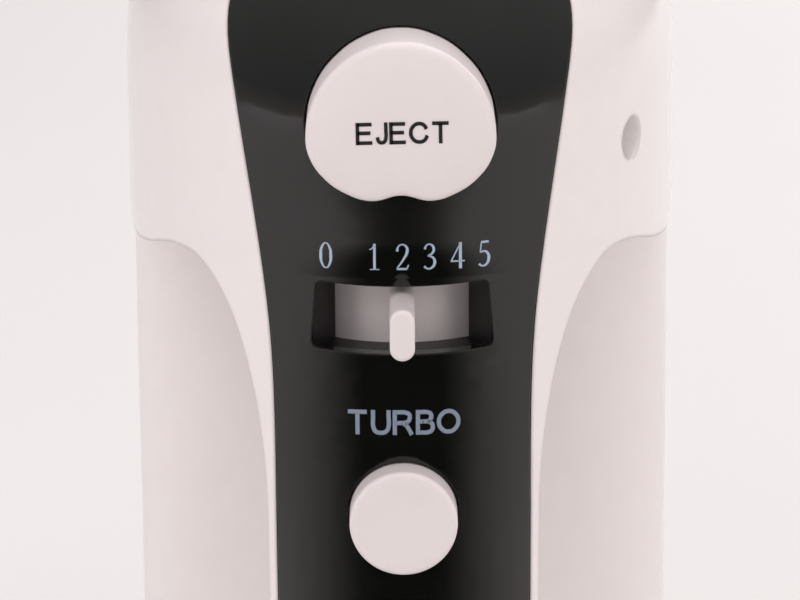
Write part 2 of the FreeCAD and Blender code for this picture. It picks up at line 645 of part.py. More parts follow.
# ---------------------------------------------------------------- beaters
def strip_side(half, top, foot):
    """The curved side of a beater loop, as a face in the XY plane."""
    thick = STRIP[1]
    start = math.asin((6.0 / half) ** 1.25)
    end = math.pi - math.asin((5.0 / half) ** 1.25)

    def point(s):
        share = (math.cos(start) - math.cos(s)) / (math.cos(start) - math.cos(end))
        return Vec(half * math.sin(s) ** 0.8, top + (foot - top) * share, 0)

    count = 24
    outer, inner = [], []
    for i in range(count + 1):
        s = start + (end - start) * i / count
        along = (point(s + 0.01) - point(s - 0.01)).normalize()
        if i in (0, count):
            along = Vec(1 if i == 0 else -1, 0, 0)
        outer.append(tuple(point(s)))
        inner.append(tuple(point(s) + Vec(-along.y, along.x, 0) * thick))
    edges = [spline(outer), Part.LineSegment(Vec(*outer[-1]), Vec(*inner[-1])).toShape(),
             spline(inner[::-1]), Part.LineSegment(Vec(*inner[0]), Vec(*outer[0])).toShape()]
    return Part.Face(Part.Wire(edges))


def beater_loop(side, turn, top, foot, half):
    """One loop of flat strip, turned about the beater's axis and open at its shaft."""
    width, thick = STRIP
    right = prism(strip_side(half, top, foot), Vec(0, 0, width))
    bars = [box((-5, 5), (foot - thick, foot), (0, width)),
            box((BEATER_R, 6), (top, top + thick), (0, width)),
            box((-6, -BEATER_R), (top, top + thick), (0, width))]
    solid = right.fuse([mirror_x(right)] + bars).removeSplitter()
    solid.translate(Vec(0, 0, -width / 2))
    solid.rotate(Vec(0, 0, 0), Vec(0, 1, 0), turn)
    solid.translate(Vec(side * BEATER_X, 0, BEATER_Z))
    return solid


def beater_parts(side):
    name = "right" if side > 0 else "left"
    turn = 0 if side > 0 else 45
    low, high = LOOP_Y
    x = side * BEATER_X
    gap = STRIP[1]
    shaft = cyl(BEATER_R, (x, BEATER_Y[0], BEATER_Z), (x, BEATER_Y[1], BEATER_Z))
    shaft = rounded(shaft, 0.8, lambda e: e.BoundBox.YMax < BEATER_Y[0] + 0.01)
    collar = tube(7, BEATER_R, (x, 68, BEATER_Z), (x, 71, BEATER_Z)).fuse(
        tube(4.6, BEATER_R, (x, 71, BEATER_Z), (x, 78, BEATER_Z))).removeSplitter()
    return {
        "beater_shaft_" + name: shaft,
        "beater_collar_" + name: collar,
        "beater_loop_a_" + name: beater_loop(side, turn, low, high, LOOP_HALF),
        "beater_loop_b_" + name: beater_loop(side, turn + 90, low + gap, high - gap,
                                             LOOP_HALF - gap),
        "drive_wheel_" + name: drive_wheel(side),
        "retaining_clip_" + name: tube(9, HUB_R, (x, 52.2, BEATER_Z), (x, 53.2, BEATER_Z))}


# ---------------------------------------------------------------- housing
def socket_pad():
    """The raised pad on the underside round both beater sockets."""
    ends = [cyl(10.5, (s * 18.5, 55, BEATER_Z), (s * 18.5, 65.5, BEATER_Z)) for s in (-1, 1)]
    middle = box((-18.5, 18.5), (55, 65.5), (BEATER_Z - 10.5, BEATER_Z + 10.5))
    pad = middle.fuse(ends).removeSplitter()
    return rounded(pad, 1.2, lambda e: e.BoundBox.YMin > 65.4)


def heel_pad():
    pad = box((-20, 20), (-49, 49), (0, 2))
    pad = rounded(pad, 8, lambda e: e.BoundBox.ZLength > 1.9)
    return rounded(pad, 0.5, lambda e: e.BoundBox.ZMax < 0.01)


def gland_solid():
    at = (8, 24)
    body = cyl(6.2, (-46.4, *at), (-33, *at))
    lip = cyl(8, (-46.8, *at), (-44.8, *at))
    inner = cyl(8, (-41.8, *at), (-39.5, *at))
    return body.fuse([lip, inner]).removeSplitter(), cyl(3.6, (-50, *at), (-30, *at))


def ribs():
    """Every rib and boss inside the housing, before they are trimmed to its outside."""
    made = []
    for y, z in SCREWS:
        made.append(cyl(4.8, (0, y, z), (60, y, z)))
        made.append(cyl(4.0, (-60, y, z), (0, y, z)))
    side = 60
    for z0, z1 in ((REAR_PLATE[0] - 3, REAR_PLATE[0]), (REAR_PLATE[1], REAR_PLATE[1] + 3),
                   (FRONT_PLATE[0] - 3, FRONT_PLATE[0])):
        for s in (-1, 1):
            made.append(box(tuple(sorted((s * 38, s * side))), (16, 44), (z0, z1)))
    for s in (-1, 1):
        made.append(box(tuple(sorted((s * 29, s * side))), (13.5, 17), (156, 162)))
    made.append(box((-side, side), (-54, -40), (131, 133.6)))
    made.append(box((-side, side), (-54, -40), (150.4, 153)))
    made.append(box((-side, side), (-22, -20), (133, 151)))
    made.append(box((-side, side), (-30, -27), (173.5, 190)))
    made.append(box((-side, side), (-55.2, -40), (48, 50)))
    made.append(box((-side, side), (-55.2, -40), (80, 82)))
    return made


def housing(whole):
    """The two clamshell halves, joined at x = 0."""
    recess = whole.common(panel_prism(PANEL_GAP)).cut(lowered(whole, PANEL_T))
    body = whole.cut(recess)
    shell = body.cut(cavity().cut(ribs()))
    cuts = [eject_prism(CLEAR, -90, -57), cyl(TURBO_R + CLEAR, (0, -90, TURBO_Z), (0, -58, TURBO_Z)),
            box((-14.5, 14.5), (-90, -58), (SLOT_Z - 6.5, SLOT_Z + 6.5)),
            cyl(2, (0, DRUM_AXIS_Y, 129), (0, DRUM_AXIS_Y, 153)),
            cyl(4.1, (0, -35, STEM_Z), (0, -20, STEM_Z)), socket_pad(), heel_pad(),
            gland_solid()[0]]
    cuts.append(box((-16.3, 16.3), (-72, -55), (134.6, 149.4)).cut(lowered(whole, PANEL_T + 1.0)))
    cuts.append(box((-16, 16), (-60, -44), (42, 90)).cut(box((-17, 17), (-54.4, -40), (40, 92))))
    for y, z in SCREWS:
        cuts += [cyl(3.4, (SCREW_HEAD_X, y, z), (60, y, z)), cyl(1.8, (0, y, z), (13, y, z)),
                 cyl(1.5, (-SCREW_HEAD_X, y, z), (0, y, z))]
    for i in range(6):
        z = 52 + i * 6.5
        for s in (-1, 1):
            cuts.append(stadium(11, 1.5, (s * 50, 0, 0), (-s, 0, 0), 14).copy())
            cuts[-1].rotate(Vec(s * 50, 0, 0), Vec(1, 0, 0), 90)
            cuts[-1].translate(Vec(0, 30, z))
        cuts.append(stadium(7, 1.3, (-13 + i * 5.2, 66, 111), (0, -1, 0), 9))
    shell = shell.cut(Part.makeCompound(cuts))
    halves = []
    for x in ((0, 80), (-80, 0)):
        half = shell.common(box(x, (-120, 120), (-10, 220)))
        halves.append(soften(max(half.Solids, key=lambda s: s.Volume)))
    return halves


def slot_prism():
    """The panel's slot, a little bowed and wider at its lower edge."""
    def at(x, z):
        return Vec(x, -90, SLOT_Z + z)

    (xt, zt, mt), (xl, zl, ml) = SLOT_TOP, SLOT_LOW
    edges = [Part.Arc(at(-xt, zt), at(0, mt), at(xt, zt)).toShape(),
             Part.LineSegment(at(xt, zt), at(xl, zl)).toShape(),
             Part.Arc(at(xl, zl), at(0, ml), at(-xl, zl)).toShape(),
             Part.LineSegment(at(-xl, zl), at(-xt, zt)).toShape()]
    slot = Part.Face(Part.Wire(edges)).extrude(Vec(0, 40, 0))
    return rounded(slot, 0.9, lambda e: e.BoundBox.YLength > 30)


def top_panel(whole):
    solid = whole.common(panel_prism()).cut(lowered(whole, PANEL_T))
    slot = slot_prism()
    solid = solid.cut(Part.makeCompound([
        slot, eject_prism(SLIDE, -90, -50),
        cyl(TURBO_R + SLIDE, (0, -90, TURBO_Z), (0, -50, TURBO_Z))]))
    return max(solid.Solids, key=lambda s: s.Volume)


def housing_screws():
    screws = []
    for y, z in SCREWS:
        x = SCREW_HEAD_X
        shank = cyl(1.5, (-x + 2, y, z), (x, y, z))
        head = cyl(2.9, (x, y, z), (x + 2.2, y, z))
        cross = [box((x + 1, x + 3), (y - 1.8, y + 1.8), (z - 0.35, z + 0.35)),
                 box((x + 1, x + 3), (y - 0.35, y + 0.35), (z - 1.8, z + 1.8))]
        screws.append(shank.fuse(head).removeSplitter().cut(Part.makeCompound(cross)))
    return Part.makeCompound(screws)


def electronics():
    """The speed control in the handle."""
    board = box((-15, 15), (-56.0, -54.4), (44, 86))
    choke = tube(5, 2, (6, -54.4, 68), (6, -47.5, 68))
    triac = box((-12, -3), (-54.4, -50), (54, 66)).fuse(
        box((-12, -3), (-50, -46), (54, 56))).removeSplitter()
    cap = rounded(box((0, 12), (-54.4, -45.5), (52.5, 61)), 1, lambda e: e.BoundBox.YMin > -46)
    turbo = box((-7, 7), (-51.8, -42.4), (106, 118)).cut(finger_gap(WALL))
    return {"control_board": board, "choke": choke, "triac": triac, "film_capacitor": cap,
            "turbo_switch": turbo}


def make_parts():
    whole = outside()
    right, left = housing(whole)
    gland, bore = gland_solid()
    parts = {
        "housing_right": right, "housing_left": left, "top_panel": top_panel(whole),
        "heel_pad": heel_pad(), "cable_gland": gland.cut(bore), "housing_screws": housing_screws(),
        "socket_pad": socket_pad().cut(Part.makeCompound(
            [cyl(HUB_R + 0.4, (s * BEATER_X, 50, BEATER_Z), (s * BEATER_X, 70, BEATER_Z))
             for s in (-1, 1)])),
        "selector_bezel": selector_bezel(whole),
        "eject_button": eject_button(), "ejector_plate": ejector_plate(),
        "turbo_button": turbo_button(), "speed_selector": speed_selector(),
        "eject_spring": coil(5.5, 0.6, 8, (0, STEM_Z), FLANGE_Y[1], -30.0),
        "turbo_spring": coil(4.6, 0.5, 5, (0, TURBO_Z), TURBO_FLANGE_Y[1], -51.8),
        "gear_frame": gear_frame(), "gear_frame_screws": frame_screws(),
        "thrust_bearing": tube(5, 3 + RUN, (0, MOTOR_Y, 186), (0, MOTOR_Y, FRAME[2][1])),
        "rear_bearing": bearing(37.5, 43.5), "front_bearing": bearing(135, 141),
        "motor_rear_bracket": end_bracket(REAR_PLATE, (37.5, 43.5), (REAR_PLATE[1], STACK[0])),
        "motor_front_bracket": end_bracket(FRONT_PLATE, (135, 141), (STACK[1], FRONT_PLATE[0])),
        "stator_core": stator_core(), "field_coil_left": field_coil(-1),
        "field_coil_right": field_coil(1), "motor_bolts": motor_bolts(), "worm": worm()}
    parts["motor_front_bracket"] = parts["motor_front_bracket"].cut(Part.makeCompound(
        [cyl(1.5, (x, y, 130), (x, y, 145)) for x, y in FRAME_SCREWS]))
    for group in (selector_parts(), rotor_parts(), brush_parts(1), brush_parts(-1),
                  beater_parts(1), beater_parts(-1), electronics()):
        parts.update(group)
    return parts


if __name__ == "__main__":
    os.makedirs("parts", exist_ok=True)
    for name, shape in make_parts().items():
        shape.exportStep(os.path.join("parts", name + ".step"))
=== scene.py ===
"""Looks of a hand mixer that stands on its heel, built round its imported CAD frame.

Metres. +Z runs up from the heel to the nose, -Y is the side of the handle and its controls,
+Y is the way the beaters point, and X is the width.
"""
import logging
import math
from collections.abc import Callable
from dataclasses import dataclass, field
from enum import Enum

import bmesh
import bpy
from bpy.types import Light, Material, Node, NodeSocket, NodeTree, Object
from mathutils import Matrix, Vector


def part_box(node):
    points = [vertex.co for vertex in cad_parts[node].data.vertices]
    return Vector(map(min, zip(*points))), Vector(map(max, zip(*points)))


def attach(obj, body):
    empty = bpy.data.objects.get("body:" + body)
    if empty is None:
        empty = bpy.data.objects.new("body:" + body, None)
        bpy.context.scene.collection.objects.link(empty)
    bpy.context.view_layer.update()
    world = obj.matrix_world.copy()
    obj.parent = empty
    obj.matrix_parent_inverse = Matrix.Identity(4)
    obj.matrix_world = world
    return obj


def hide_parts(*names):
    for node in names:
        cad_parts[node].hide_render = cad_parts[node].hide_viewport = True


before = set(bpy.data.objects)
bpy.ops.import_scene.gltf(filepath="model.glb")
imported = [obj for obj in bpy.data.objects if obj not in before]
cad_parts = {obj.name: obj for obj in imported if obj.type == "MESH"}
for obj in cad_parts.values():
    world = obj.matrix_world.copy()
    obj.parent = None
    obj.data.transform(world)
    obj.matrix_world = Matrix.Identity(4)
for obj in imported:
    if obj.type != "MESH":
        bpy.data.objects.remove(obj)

MM = 0.001
BAND_SHARE = 3.4  # how many bands a wave texture draws in one unit of its scale
log = logging.getLogger("hand_mixer")


# ------------------------------------------------------------------ materials
class Grain(Enum):
    """The kind of fine pattern that a way of making leaves on a surface."""

    PEEL = "soft waves of a polished mould"
    SPARK = "fine pits of a spark-eroded mould"
    DRAWN = "long lines of drawing, rolling or turning"
    BANDS = "even bands of sheets or wire"
    PORES = "small pores of casting or pressing"
    TRACES = "copper tracks under solder resist"


def linear(colour: str) -> tuple[float, float, float, float]:
    """Turns an sRGB hex colour into linear light.

    Args:
        colour: six hex digits after a hash sign.

    Returns:
        Linear red, green and blue, and an alpha of 1.
    """
    channels = [int(colour[i:i + 2], 16) / 255 for i in (1, 3, 5)]
    red, green, blue = (c / 12.92 if c <= 0.04045 else ((c + 0.055) / 1.055) ** 2.4
                        for c in channels)
    return red, green, blue, 1.0


def add_node(tree: NodeTree, kind: str, settings: dict[str, object] | None = None,
             values: dict[str | int, object] | None = None,
             links: dict[str | int, NodeSocket] | None = None) -> Node:
    """Adds one node with its settings, its socket values and its incoming links.

    Args:
        tree: the node tree it goes into.
        kind: the node's type name.
        settings: attributes of the node.
        values: constants for its input sockets, by name or number.
        links: output sockets that feed its input sockets, by name or number.

    Returns:
        The new node.
    """
    node = tree.nodes.new(kind)
    for key, value in (settings or {}).items():
        setattr(node, key, value)
    for key, value in (values or {}).items():
        node.inputs[key].default_value = value
    for key, source in (links or {}).items():
        tree.links.new(source, node.inputs[key])
    return node


@dataclass(frozen=True)
class Finish:
    """A real material together with the surface that its making gives it.

    The pattern's period and depth are real sizes in millimetres.
    """

    name: str
    colour: str
    shade: str
    grain: Grain
    period_mm: float
    depth_mm: float
    roughness: float
    wander: float = 0.04
    mottle: float = 0.3
    broad_mm: float = 25.0
    metallic: float = 0.0
    ior: float = 1.5
    coat: float = 0.0
    sheen: float = 0.0
    scatter: float = 0.0
    stretch: tuple[float, float, float] = (1.0, 1.0, 1.0)
    edge_mm: float = 0.25
    edge: str = ""

    def height(self, tree: NodeTree, place: NodeSocket) -> NodeSocket:
        """Builds the fine pattern.

        Args:
            tree: the material's node tree.
            place: the position that the pattern reads.

        Returns:
            The pattern's height, from 0 to 1.
        """
        scale = 1.0 / (self.period_mm * MM)
        if self.grain is Grain.BANDS:
            wave = add_node(tree, "ShaderNodeTexWave",
                            {"wave_type": "BANDS", "bands_direction": "DIAGONAL"},
                            {"Scale": scale / BAND_SHARE, "Distortion": 0.6, "Detail": 1.0,
                             "Detail Scale": 0.4}, {"Vector": place})
            return wave.outputs["Fac"]
        if self.grain is Grain.PORES:
            pores = add_node(tree, "ShaderNodeTexVoronoi", {"feature": "SMOOTH_F1"},
                             {"Scale": scale, "Smoothness": 0.35, "Randomness": 1.0},
                             {"Vector": place})
            return pores.outputs["Distance"]
        if self.grain is Grain.TRACES:
            tracks = add_node(tree, "ShaderNodeTexBrick", {"offset": 0.37, "squash": 0.6},
                              {"Color1": (1, 1, 1, 1), "Color2": (0.7, 0.7, 0.7, 1),
                               "Mortar": (0, 0, 0, 1), "Scale": scale, "Mortar Size": 0.06,
                               "Brick Width": 1.6, "Row Height": 0.5}, {"Vector": place})
            return tracks.outputs["Fac"]
        detail = {Grain.PEEL: 1.0, Grain.SPARK: 5.0, Grain.DRAWN: 3.0}[self.grain]
        noise = add_node(tree, "ShaderNodeTexNoise", None,
                         {"Scale": scale, "Detail": detail, "Roughness": 0.6},
                         {"Vector": place})
        return noise.outputs["Fac"]

    def rubbed(self, tree: NodeTree, colour: NodeSocket, rounded: NodeSocket) -> NodeSocket:
        """Changes the colour along the edges, where handling has rubbed it.

        Args:
            tree: the material's node tree.
            colour: the colour away from the edges.
            rounded: the normal of the rounded edges.

        Returns:
            The colour with its edges rubbed.
        """
        real = add_node(tree, "ShaderNodeNewGeometry")
        turned = add_node(tree, "ShaderNodeVectorMath", {"operation": "DOT_PRODUCT"}, None,
                          {0: rounded, 1: real.outputs["Normal"]})
        share = add_node(tree, "ShaderNodeMapRange", None,
                         {"From Min": 0.995, "From Max": 0.80, "To Min": 0.0, "To Max": 0.8},
                         {"Value": turned.outputs["Value"]})
        mixed = add_node(tree, "ShaderNodeMix", {"data_type": "RGBA"}, {7: linear(self.edge)},
                         {0: share.outputs["Result"], 6: colour})
        return mixed.outputs[2]

    def material(self) -> Material:
        """Makes the finish's material, or finds it if it is made already.

        Returns:
            The material.
        """
        made = bpy.data.materials.get(self.name)
        if made:
            return made
        made = bpy.data.materials.new(self.name)
        made.use_nodes = True
        tree = made.node_tree
        tree.nodes.clear()
        where = add_node(tree, "ShaderNodeTexCoord")
        place = add_node(tree, "ShaderNodeMapping", None, {"Scale": self.stretch},
                         {"Vector": where.outputs["Object"]})
        height = self.height(tree, place.outputs["Vector"])
        cloud = add_node(tree, "ShaderNodeTexNoise", None,
                         {"Scale": 1.0 / (self.broad_mm * MM), "Detail": 3.0},
                         {"Vector": where.outputs["Object"]})
        both = add_node(tree, "ShaderNodeMix", {"data_type": "FLOAT"}, {0: 0.5},
                        {2: height, 3: cloud.outputs["Fac"]})
        share = add_node(tree, "ShaderNodeMapRange", {"interpolation_type": "SMOOTHSTEP"},
                         {"From Min": 0.3, "From Max": 0.75, "To Min": 0.0,
                          "To Max": self.mottle}, {"Value": both.outputs[0]})
        tint = add_node(tree, "ShaderNodeMix", {"data_type": "RGBA"},
                        {6: linear(self.colour), 7: linear(self.shade)},
                        {0: share.outputs["Result"]})
        rough = add_node(tree, "ShaderNodeMapRange", None,
                         {"From Min": 0.3, "From Max": 0.7,
                          "To Min": max(0.02, self.roughness - self.wander),
                          "To Max": self.roughness + self.wander},
                         {"Value": both.outputs[0]})
        soft = add_node(tree, "ShaderNodeBevel", {"samples": 6},
                        {"Radius": self.edge_mm * MM})
        bump = add_node(tree, "ShaderNodeBump", None,
                        {"Strength": 1.0, "Distance": self.depth_mm * MM},
                        {"Height": height, "Normal": soft.outputs["Normal"]})
        colour = tint.outputs[2]
        if self.edge:
            colour = self.rubbed(tree, colour, soft.outputs["Normal"])
        values = {"Metallic": self.metallic, "Coat Weight": self.coat, "Coat Roughness": 0.03,
                  "Sheen Weight": self.sheen, "Subsurface Weight": self.scatter,
                  "Subsurface Radius": (1.2 * MM, 1.0 * MM, 0.9 * MM), "Subsurface Scale": 1.0}
        if not self.metallic:
            values["IOR"] = self.ior
        shader = add_node(tree, "ShaderNodeBsdfPrincipled", None, values,
                          {"Base Color": colour, "Roughness": rough.outputs["Result"],
                           "Normal": bump.outputs["Normal"]})
        add_node(tree, "ShaderNodeOutputMaterial", None, None,
                 {"Surface": shader.outputs["BSDF"]})
        return made


# White ABS from a mirror-polished mould: sharp clear reflections over faint long waves.
GLOSS_WHITE_ABS = Finish("gloss_white_abs_moulded", "#E8E1DF", "#E3DBD9", Grain.PEEL, 4.0,
                         0.003, 0.13, 0.03, 0.5, 40.0, ior=1.54, edge_mm=1.0)
# Black ABS from the same kind of mould: deep and wet-looking, the waves bend its reflections.
GLOSS_BLACK_ABS = Finish("gloss_black_abs_moulded", "#0C0D0B", "#11120F", Grain.PEEL, 5.0,
                         0.004, 0.07, 0.02, 0.5, 30.0, ior=1.54, edge_mm=0.35)
# White ABS from a lightly blasted mould: the buttons' even satin, without sharp reflections.
SATIN_WHITE_ABS = Finish("satin_white_abs_moulded", "#E2D9D8", "#DBD1D0", Grain.SPARK, 0.35,
                         0.004, 0.32, 0.05, 0.5, 9.0, ior=1.54, scatter=0.05, edge_mm=0.3)
# Black ABS from a spark-eroded mould: a dull well that keeps glare out of the slot.
SPARK_BLACK_ABS = Finish("spark_eroded_black_abs", "#101110", "#1A1B1A", Grain.SPARK, 0.4,
                         0.02, 0.42, 0.08, 0.5, 6.0, ior=1.54)
# Soft PVC, moulded: dull, slightly dusty black with paler rubbed edges.
SOFT_PVC = Finish("soft_pvc_moulded", "#1D1D1E", "#2B2A2A", Grain.SPARK, 0.5, 0.03, 0.62, 0.08,
                  0.6, 8.0, ior=1.5, sheen=0.15, edge="#3A3939")
# Bright chrome plate over steel strip: mirror-like, with faint lines from rolling the strip.
CHROME_PLATE = Finish("chrome_plated_steel", "#DCDEDF", "#C6C9CB", Grain.DRAWN, 0.6, 0.002,
                      0.09, 0.04, 0.5, 14.0, 1.0, stretch=(1, 0.06, 1), edge_mm=0.25)
# Bright chrome plate over a turned rod: fine rings of the lathe under the plate.
CHROME_ROD = Finish("chrome_plated_rod", "#DCDEDF", "#C9CCCE", Grain.DRAWN, 0.5, 0.0015, 0.08,
                    0.03, 0.5, 14.0, 1.0, stretch=(0.1, 1, 0.1), edge_mm=0.3)
# Zinc-plated steel, turned: a soft blue-grey shine with fine rings.
ZINC_STEEL = Finish("zinc_plated_steel_turned", "#A9ACB0", "#8E9094", Grain.DRAWN, 0.4, 0.004,
                    0.28, 0.08, 0.6, 5.0, 1.0, stretch=(0.1, 1, 1), edge="#C9CBCE")
# Ground steel shaft: bright, with rings too fine to see one by one.
GROUND_STEEL = Finish("ground_steel_shaft", "#B9BABC", "#A2A3A6", Grain.DRAWN, 0.4, 0.002, 0.18,
                      0.05, 0.5, 12.0, 1.0, stretch=(0.1, 0.1, 1))
# Hardened steel worm, hobbed and oiled: darker, with flank marks.
HOBBED_STEEL = Finish("hobbed_steel_worm", "#8D8E90", "#6E6F72", Grain.DRAWN, 0.5, 0.006, 0.3,
                      0.08, 0.6, 6.0, 1.0, stretch=(1, 1, 0.2), edge="#C4C5C7")
# Spring steel wire, drawn: dull grey with lines along it.
SPRING_WIRE = Finish("drawn_spring_steel", "#8A8B8D", "#77787B", Grain.DRAWN, 0.3, 0.003, 0.32,
                     0.06, 0.5, 4.0, 1.0, stretch=(1, 0.2, 1))
# Varnished electrical steel sheets: dark edges 0.5 mm apart under a warm varnish.
LAMINATED_STEEL = Finish("varnished_lamination_stack", "#4A4744", "#6F6A64", Grain.BANDS, 0.5,
                         0.05, 0.4, 0.08, 0.9, 12.0, 0.6, coat=0.3, stretch=(0.02, 0.02, 1.7))
# Enamelled copper wire, wound: copper-brown turns 0.6 mm apart under clear enamel.
WOUND_COPPER = Finish("enamelled_copper_winding", "#A04A22", "#6B2A12", Grain.BANDS, 0.6, 0.25,
                      0.25, 0.06, 0.9, 6.0, 0.8, coat=0.5, stretch=(1, 1, 0.1))
# Copper commutator bars, turned: pink metal with a brown track where the brushes run.
TURNED_COPPER = Finish("turned_commutator_copper", "#C98A66", "#8A4B2E", Grain.DRAWN, 0.4, 0.004,
                       0.24, 0.08, 0.8, 4.0, 1.0, stretch=(0.1, 0.1, 1), edge="#E0AE90")
# Pressed electrographite: soft black with a metallic grain.
PRESSED_CARBON = Finish("pressed_electrographite", "#1B1B1C", "#323234", Grain.PORES, 0.4, 0.02,
                        0.5, 0.08, 0.8, 3.0, edge="#4A4A4C")
# Die-cast aluminium: a dull silver skin with small pores.
DIE_CAST = Finish("die_cast_aluminium", "#9C9D9E", "#808183", Grain.PORES, 1.2, 0.03, 0.42, 0.08,
                  0.7, 14.0, 1.0, edge="#C2C3C4")
# Sintered bronze, oiled: warm brown and full of pores.
SINTERED_BRONZE = Finish("sintered_bronze_oiled", "#8C6637", "#5F4420", Grain.PORES, 0.35, 0.03,
                         0.38, 0.08, 0.8, 4.0, 1.0, edge="#B98F55")
# Natural acetal and nylon, moulded: milky, slightly see-through at thin edges.
NATURAL_ACETAL = Finish("natural_acetal_moulded", "#D9D4C6", "#CBC5B4", Grain.SPARK, 0.6, 0.006,
                        0.36, 0.06, 0.5, 12.0, ior=1.48, scatter=0.2)
# Paper-phenolic and epoxy parts, moulded: grey with fine filler.
FILLED_PHENOLIC = Finish("filled_phenolic_moulded", "#3A3B3E", "#4B4C50", Grain.SPARK, 0.4, 0.01,
                         0.45, 0.08, 0.6, 5.0, edge="#5C5D61")
# Epoxy-dipped film capacitor: glossy mustard box.
FILM_CAPACITOR = Finish("dipped_film_capacitor", "#C28F1F", "#A87A18", Grain.PEEL, 1.5, 0.01, 0.2,
                        0.05, 0.5, 5.0, edge_mm=0.5)
# Glass-epoxy board under solder resist: green gloss over raised copper tracks.
SOLDER_RESIST = Finish("glass_epoxy_board", "#1F5A34", "#123C22", Grain.TRACES, 6.0, 0.035, 0.22,
                       0.05, 0.9, 10.0, coat=0.4)
# Pale blue-grey pad-printing ink: thin and slightly matt on the gloss panel.
PALE_INK = Finish("pad_print_ink_pale_blue", "#A9B9CC", "#9DADC1", Grain.SPARK, 0.3, 0.003, 0.4,
                  0.05, 0.5, 4.0)
# The same ink in a darker grey-blue, for the word below the window: it sinks into the gloss.
GREY_INK = Finish("pad_print_ink_grey_blue", "#7F8A9B", "#76818F", Grain.SPARK, 0.3, 0.003, 0.4,
                  0.05, 0.5, 4.0)
# Black pad-printing ink: crisp and slightly matt on the satin white button.
BLACK_INK = Finish("pad_print_ink_black", "#1A191B", "#222124", Grain.SPARK, 0.3, 0.003, 0.4,
                   0.05, 0.5, 4.0)


def dress(piece: Object, finish: Finish) -> None:
    """Gives a piece one finish all over.

    Args:
        piece: a CAD node or a new mesh.
        finish: the finish.
    """
    if not piece.material_slots:
        piece.data.materials.append(None)
    for holder in piece.material_slots:
        holder.material = finish.material()


# ------------------------------------------------------------------ modelling
def clear_selection() -> None:
    """Leaves edit mode and deselects every object."""
    if bpy.context.object and bpy.context.object.mode != "OBJECT":
        bpy.ops.object.mode_set(mode="OBJECT")
    bpy.ops.object.select_all(action="DESELECT")


def rolled(radius: float) -> list[tuple[float, float]]:
    """Works out a quarter-round rim in even steps.

    Args:
        radius: the rim's radius.

    Returns:
        How far in and how far up each step goes.
    """
    turns = [math.radians(15 * step) for step in range(7)]
    arc = [(radius * (1 - math.cos(turn)), radius * math.sin(turn)) for turn in turns]
    return [(end[0] - start[0], end[1] - start[1]) for start, end in zip(arc, arc[1:])]


class Workpiece:
    """A mesh under work. It is shaped in edit mode with the mesh operators."""

    def __init__(self, name: str) -> None:
        """Takes the active object, which an add operator has just made.

        Args:
            name: the finished piece's name.
        """
        self.obj = bpy.context.object
        self.obj.name = self.obj.data.name = name

    def edit(self) -> "Workpiece":
        """Opens the mesh with nothing selected.

        Returns:
            This workpiece.
        """
        clear_selection()
        self.obj.select_set(True)
        bpy.context.view_layer.objects.active = self.obj
        bpy.ops.object.mode_set(mode="EDIT")
        bpy.ops.mesh.select_all(action="DESELECT")
        return self

    def faces(self, test: Callable[[Vector, Vector], bool]) -> int:
        """Selects the faces that pass a test, and nothing else.

        Args:
            test: takes a face's centre and normal.

        Returns:
            How many are selected.
        """
        bpy.ops.mesh.select_mode(type="FACE")
        bpy.ops.mesh.select_all(action="DESELECT")
        mesh = bmesh.from_edit_mesh(self.obj.data)
        mesh.normal_update()
        picked = [f for f in mesh.faces if test(f.calc_center_median(), f.normal)]
        for face in picked:
            face.select_set(True)
        bmesh.update_edit_mesh(self.obj.data)
        return len(picked)

    def edges(self, test: Callable[[Vector, Vector], bool]) -> int:
        """Selects the edges that pass a test, and nothing else.

        Args:
            test: takes the edge's two ends.

        Returns:
            How many are selected.
        """
        bpy.ops.mesh.select_mode(type="EDGE")
        bpy.ops.mesh.select_all(action="DESELECT")
        mesh = bmesh.from_edit_mesh(self.obj.data)
        picked = [e for e in mesh.edges if test(e.verts[0].co, e.verts[1].co)]
        for edge in picked:
            edge.select_set(True)
        bmesh.update_edit_mesh(self.obj.data)
        return len(picked)

    def cut(self, at: Vector, normal: Vector) -> None:
        """Adds a ring of edges where a plane crosses the mesh.

        Args:
            at: a point on the plane.
            normal: the plane's normal.
        """
        bpy.ops.mesh.select_all(action="SELECT")
        bpy.ops.mesh.bisect(plane_co=at, plane_no=normal)

    def modify(self, kind: str, **settings: object) -> None:
        """Adds a modifier and applies it.

        Args:
            kind: the modifier's type.
            settings: its attributes.
        """
        self.close()
        modifier = self.obj.modifiers.new(kind.title(), kind)
        for key, value in settings.items():
            setattr(modifier, key, value)
        bpy.ops.object.modifier_apply(modifier=modifier.name)

    def close(self) -> None:
        """Leaves edit mode with this piece alone selected."""
        clear_selection()
        self.obj.select_set(True)
        bpy.context.view_layer.objects.active = self.obj

    def finish(self, body: str, slot: str, finish: Finish, stands_for: str = "",
               smooth: float = 35.0) -> Object:
        """Makes the mesh a finished piece of the object.

        Args:
            body: the CAD body it rides on.
            slot: not used.
            finish: its finish.
            stands_for: the CAD node it replaces, if it replaces one.
            smooth: edges sharper than this, in degrees, stay sharp.

        Returns:
            The piece.
        """
        self.edit()
        bpy.ops.mesh.select_all(action="SELECT")
        bpy.ops.mesh.remove_doubles(threshold=1e-7)
        bpy.ops.mesh.normals_make_consistent(inside=False)
        self.close()
        bpy.ops.object.transform_apply(location=True, rotation=True, scale=True)
        bpy.ops.object.shade_smooth_by_angle(angle=math.radians(smooth))
        dress(self.obj, finish)
        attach(self.obj, body)
        if stands_for:
            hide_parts(stands_for)
        return self.obj


class Assembly:
    """A group of pieces that are built and finished together."""

    finishes: dict[str, Finish] = {}

    def build(self) -> list[str]:
        """Builds and dresses the group's pieces.

        Returns:
            The pieces' names.
        """
        for name, finish in self.finishes.items():
            dress(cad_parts[name], finish)
        return list(self.finishes)


